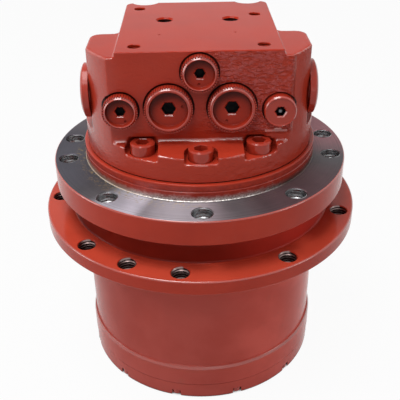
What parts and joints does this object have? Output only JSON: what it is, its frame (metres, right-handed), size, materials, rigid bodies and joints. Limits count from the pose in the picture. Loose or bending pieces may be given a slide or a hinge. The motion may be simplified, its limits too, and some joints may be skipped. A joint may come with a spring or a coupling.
{
  "type": "excavator final drive",
  "caption": "Hydraulic travel motor with a two-stage planetary gearbox: still spindle and valve block, turning hub with a sprocket flange.",
  "frame": {"origin": "on the axis of rotation, at the end cover's outer face, where the drive stands", "axes": "+Z along the axis of rotation from the end cover towards the valve block, -Y towards the valve block's front face with the five plugs, +X to that face's right"},
  "size_m": [0.2294, 0.2294, 0.2562],
  "materials": {
    "bronze": "satin",
    "cast_iron": "matte",
    "friction_lining": "matte",
    "gasket_fibre": "matte",
    "ground_steel": "satin",
    "red_paint": "gloss",
    "rubber": "matte",
    "turned_steel": "satin"
  },
  "bodies": {
    "frame_side": {"spindle_housing": "turned_steel", "valve_block": "red_paint", "block_gasket": "gasket_fibre", "block_screw_1": "red_paint", "block_screw_2": "red_paint", "block_screw_3": "red_paint", "block_screw_4": "red_paint", "block_screw_5": "red_paint", "block_screw_6": "red_paint", "block_screw_7": "red_paint", "block_screw_8": "red_paint", "check_plug_left": "red_paint", "relief_plug_left": "red_paint", "relief_plug_right": "red_paint", "shuttle_plug": "red_paint", "drain_plug_right": "red_paint", "spool_cap_left": "red_paint", "spool_cap_right": "red_paint", "swash_plate": "ground_steel", "valve_plate": "bronze", "brake_spring": "ground_steel", "shaft_bearing_cup": "ground_steel", "lower_bearing_cone": "ground_steel", "upper_bearing_cone": "ground_steel", "bearing_nut": "turned_steel", "spindle_seal_ring": "ground_steel", "spindle_seal_cord": "rubber", "planet_pin_1": "ground_steel", "planet_pin_2": "ground_steel", "planet_pin_3": "ground_steel"},
    "hub": {"hub_case": "red_paint", "end_cover": "red_paint", "thrust_button": "bronze", "lower_bearing_cup": "ground_steel", "upper_bearing_cup": "ground_steel", "hub_seal_ring": "ground_steel", "hub_seal_cord": "rubber"},
    "motor_rotor": {"motor_shaft": "ground_steel", "shaft_bearing_cone": "ground_steel", "cylinder_block": "cast_iron", "shoe_retainer": "bronze", "friction_disc": "friction_lining", "drive_gear": "ground_steel", "piston_1": "ground_steel", "piston_2": "ground_steel", "piston_3": "ground_steel", "piston_4": "ground_steel", "piston_5": "ground_steel", "piston_6": "ground_steel", "piston_7": "ground_steel"},
    "carrier": {"first_carrier": "cast_iron", "second_sun": "ground_steel"},
    "second_planet_gear_1": {"second_planet_1": "ground_steel"},
    "second_planet_gear_2": {"second_planet_2": "ground_steel"},
    "second_planet_gear_3": {"second_planet_3": "ground_steel"},
    "first_planet_gear_1": {"first_planet_1": "ground_steel"},
    "first_planet_gear_2": {"first_planet_2": "ground_steel"},
    "first_planet_gear_3": {"first_planet_3": "ground_steel"},
    "spool": {"counterbalance_spool": "ground_steel"},
    "brake": {"brake_piston": "cast_iron"}
  },
  "joints": [
    {"name": "hub_spin", "type": "hinge", "parent": "frame_side", "child": "hub", "pos_m": [0, 0, 0], "axis": [0, 0, 1], "continuous": true},
    {"name": "carrier_spin", "type": "hinge", "parent": "frame_side", "child": "carrier", "pos_m": [0, 0, 0], "axis": [0, 0, 1], "continuous": true},
    {"name": "shaft_spin", "type": "hinge", "parent": "frame_side", "child": "motor_rotor", "pos_m": [0, 0, 0], "axis": [0, 0, 1], "continuous": true},
    {"name": "second_planet_spin_1", "type": "hinge", "parent": "frame_side", "child": "second_planet_gear_1", "pos_m": [0, 0.04537, 0], "axis": [0, 0, 1], "continuous": true},
    {"name": "second_planet_spin_2", "type": "hinge", "parent": "frame_side", "child": "second_planet_gear_2", "pos_m": [-0.0393, -0.02269, 0], "axis": [0, 0, 1], "continuous": true},
    {"name": "second_planet_spin_3", "type": "hinge", "parent": "frame_side", "child": "second_planet_gear_3", "pos_m": [0.0393, -0.02269, 0], "axis": [0, 0, 1], "continuous": true},
    {"name": "first_planet_spin_1", "type": "hinge", "parent": "carrier", "child": "first_planet_gear_1", "pos_m": [-0.03693, 0.01839, 0], "axis": [0, 0, 1], "continuous": true},
    {"name": "first_planet_spin_2", "type": "hinge", "parent": "carrier", "child": "first_planet_gear_2", "pos_m": [0.00254, -0.04117, 0], "axis": [0, 0, 1], "continuous": true},
    {"name": "first_planet_spin_3", "type": "hinge", "parent": "carrier", "child": "first_planet_gear_3", "pos_m": [0.03439, 0.02279, 0], "axis": [0, 0, 1], "continuous": true},
    {"name": "spool_slide", "type": "slide", "parent": "frame_side", "child": "spool", "axis": [1, 0, 0], "range_m": [-0.004, 0.004], "stiffness_N_per_m": 400},
    {"name": "brake_release", "type": "slide", "parent": "frame_side", "child": "brake", "axis": [0, 0, 1], "range_m": [0, 0.0015], "stiffness_N_per_m": 4000, "springref_m": -0.003, "deforming": ["brake_spring"]}
  ],
  "couplings": [
    {"joint": "carrier_spin", "follows": "hub_spin", "ratio": -3.4},
    {"joint": "shaft_spin", "follows": "hub_spin", "ratio": -28.333},
    {"joint": "second_planet_spin_1", "follows": "hub_spin", "ratio": 2.8333},
    {"joint": "second_planet_spin_2", "follows": "hub_spin", "ratio": 2.8333},
    {"joint": "second_planet_spin_3", "follows": "hub_spin", "ratio": 2.8333},
    {"joint": "first_planet_spin_1", "follows": "hub_spin", "ratio": 10.686},
    {"joint": "first_planet_spin_2", "follows": "hub_spin", "ratio": 10.686},
    {"joint": "first_planet_spin_3", "follows": "hub_spin", "ratio": 10.686}
  ]
}
